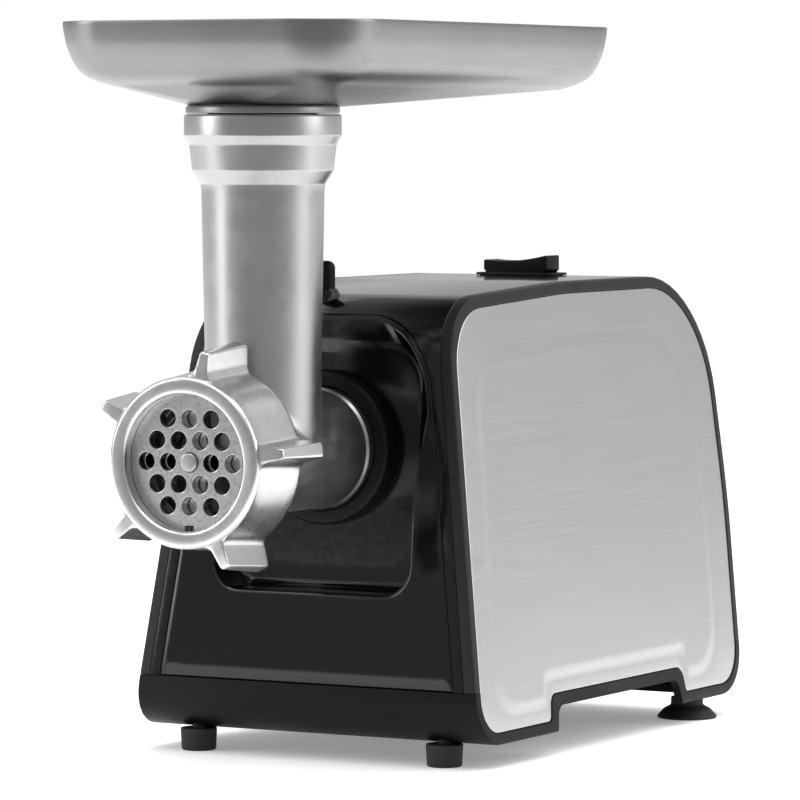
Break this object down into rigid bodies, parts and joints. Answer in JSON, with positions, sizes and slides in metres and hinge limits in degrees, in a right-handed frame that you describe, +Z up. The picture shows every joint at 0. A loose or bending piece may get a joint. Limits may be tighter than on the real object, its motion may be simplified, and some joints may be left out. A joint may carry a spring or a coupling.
{
  "type": "electric meat grinder",
  "caption": "Electric meat grinder: boxy housing with leaning steel sides, cast head with feed tube, locking ring and hole plate, and an oblong hopper tray.",
  "frame": {"origin": "on the table, at the middle of the whole machine's footprint", "axes": "+Z up; the front, where the mince comes out, faces -Y; +X is the side on the right when the front is looked at"},
  "size_m": [0.1838, 0.3894, 0.335],
  "materials": {
    "gloss_black_abs": "high-gloss moulded",
    "satin_black_abs": "satin moulded",
    "dark_grey_abs": "matte moulded",
    "brushed_stainless": "brushed along its length",
    "satin_stainless": "satin",
    "turned_stainless": "turned",
    "cast_aluminium": "satin, tumbled casting",
    "polished_aluminium": "polished casting",
    "die_cast_alloy": "as cast",
    "machine_steel": "zinc plated",
    "laminated_steel": "stacked laminations",
    "copper": "enamelled winding copper",
    "bronze": "sintered bronze",
    "nylon": "moulded nylon",
    "grey_plastic": "moulded",
    "carbon": "pressed carbon",
    "black_rubber": "matte"
  },
  "bodies": {
    "housing": {"base_tray": "satin_black_abs", "brush_holder_left": "grey_plastic", "brush_holder_right": "grey_plastic", "button_spring": "machine_steel", "carbon_brush_left": "carbon", "carbon_brush_right": "carbon", "cluster_axle": "machine_steel", "cord_gland": "black_rubber", "front_cover": "gloss_black_abs", "front_foot_left": "black_rubber", "front_foot_right": "black_rubber", "gearbox_cover": "die_cast_alloy", "gearbox_foot_screw_left": "machine_steel", "gearbox_foot_screw_right": "machine_steel", "gearbox_housing": "die_cast_alloy", "gearbox_screw_1": "machine_steel", "gearbox_screw_2": "machine_steel", "gearbox_screw_3": "machine_steel", "gearbox_screw_4": "machine_steel", "head_socket": "satin_black_abs", "left_side_frame": "dark_grey_abs", "left_side_panel": "brushed_stainless", "main_shell": "gloss_black_abs", "motor_foot_screw_left": "machine_steel", "motor_foot_screw_right": "machine_steel", "motor_front_bearing": "machine_steel", "motor_front_bracket": "die_cast_alloy", "motor_rear_bearing": "machine_steel", "motor_rear_bracket": "die_cast_alloy", "output_bushing": "bronze", "rear_suction_foot_left": "black_rubber", "rear_suction_foot_right": "black_rubber", "right_side_frame": "dark_grey_abs", "right_side_panel": "brushed_stainless", "stator_coil_left": "copper", "stator_coil_right": "copper", "stator_core": "laminated_steel", "switch_bezel": "satin_black_abs", "switch_body": "grey_plastic"},
    "rotor": {"motor_shaft": "machine_steel", "motor_pinion": "machine_steel", "armature_core": "laminated_steel", "commutator": "copper", "cooling_fan": "grey_plastic"},
    "cluster": {"cluster_gear": "nylon"},
    "drive": {"output_gear": "nylon", "drive_shaft": "machine_steel", "auger": "cast_aluminium", "auger_washer": "nylon", "cutting_blade": "turned_stainless"},
    "head": {"head_casting": "cast_aluminium", "grinding_plate": "turned_stainless"},
    "ring": {"locking_ring": "polished_aluminium"},
    "tray": {"hopper_tray": "satin_stainless"},
    "rocker": {"rocker_switch": "satin_black_abs"},
    "button": {"release_button": "satin_black_abs"},
    "lock": {"lock_pin": "machine_steel"}
  },
  "joints": [
    {"name": "rotor_spin", "type": "hinge", "parent": "housing", "child": "rotor", "pos_m": [0, 0.06, 0.0757], "axis": [0, 1, 0], "continuous": true},
    {"name": "cluster_spin", "type": "hinge", "parent": "housing", "child": "cluster", "pos_m": [0, -0.01, 0.1045], "axis": [0, 1, 0], "continuous": true},
    {"name": "drive_spin", "type": "hinge", "parent": "housing", "child": "drive", "pos_m": [0, -0.02, 0.142], "axis": [0, 1, 0], "continuous": true},
    {"name": "head_turn", "type": "hinge", "parent": "housing", "child": "head", "pos_m": [0, -0.06, 0.142], "axis": [0, 1, 0], "range_deg": [0, 40]},
    {"name": "locking_ring_turn", "type": "hinge", "parent": "head", "child": "ring", "pos_m": [0, -0.18, 0.142], "axis": [0, -1, 0], "range_deg": [0, 360]},
    {"name": "tray_lift", "type": "slide", "parent": "head", "child": "tray", "axis": [0, 0, 1], "range_m": [0, 0.06]},
    {"name": "rocker_tip", "type": "hinge", "parent": "housing", "child": "rocker", "pos_m": [0, 0.12397, 0.2157], "axis": [0, 1, 0], "range_deg": [-12, 12]},
    {"name": "button_press", "type": "slide", "parent": "housing", "child": "button", "axis": [0, 0, -1], "range_m": [0, 0.004], "stiffness_N_per_m": 400, "springref_m": -0.003, "deforming": ["button_spring"]},
    {"name": "lock_slide", "type": "slide", "parent": "housing", "child": "lock", "axis": [0, 1, 0], "range_m": [0, 0.004]}
  ],
  "couplings": [
    {"joint": "cluster_spin", "follows": "rotor_spin", "ratio": -0.2},
    {"joint": "drive_spin", "follows": "rotor_spin", "ratio": 0.05},
    {"joint": "lock_slide", "follows": "button_press", "ratio": 1}
  ]
}
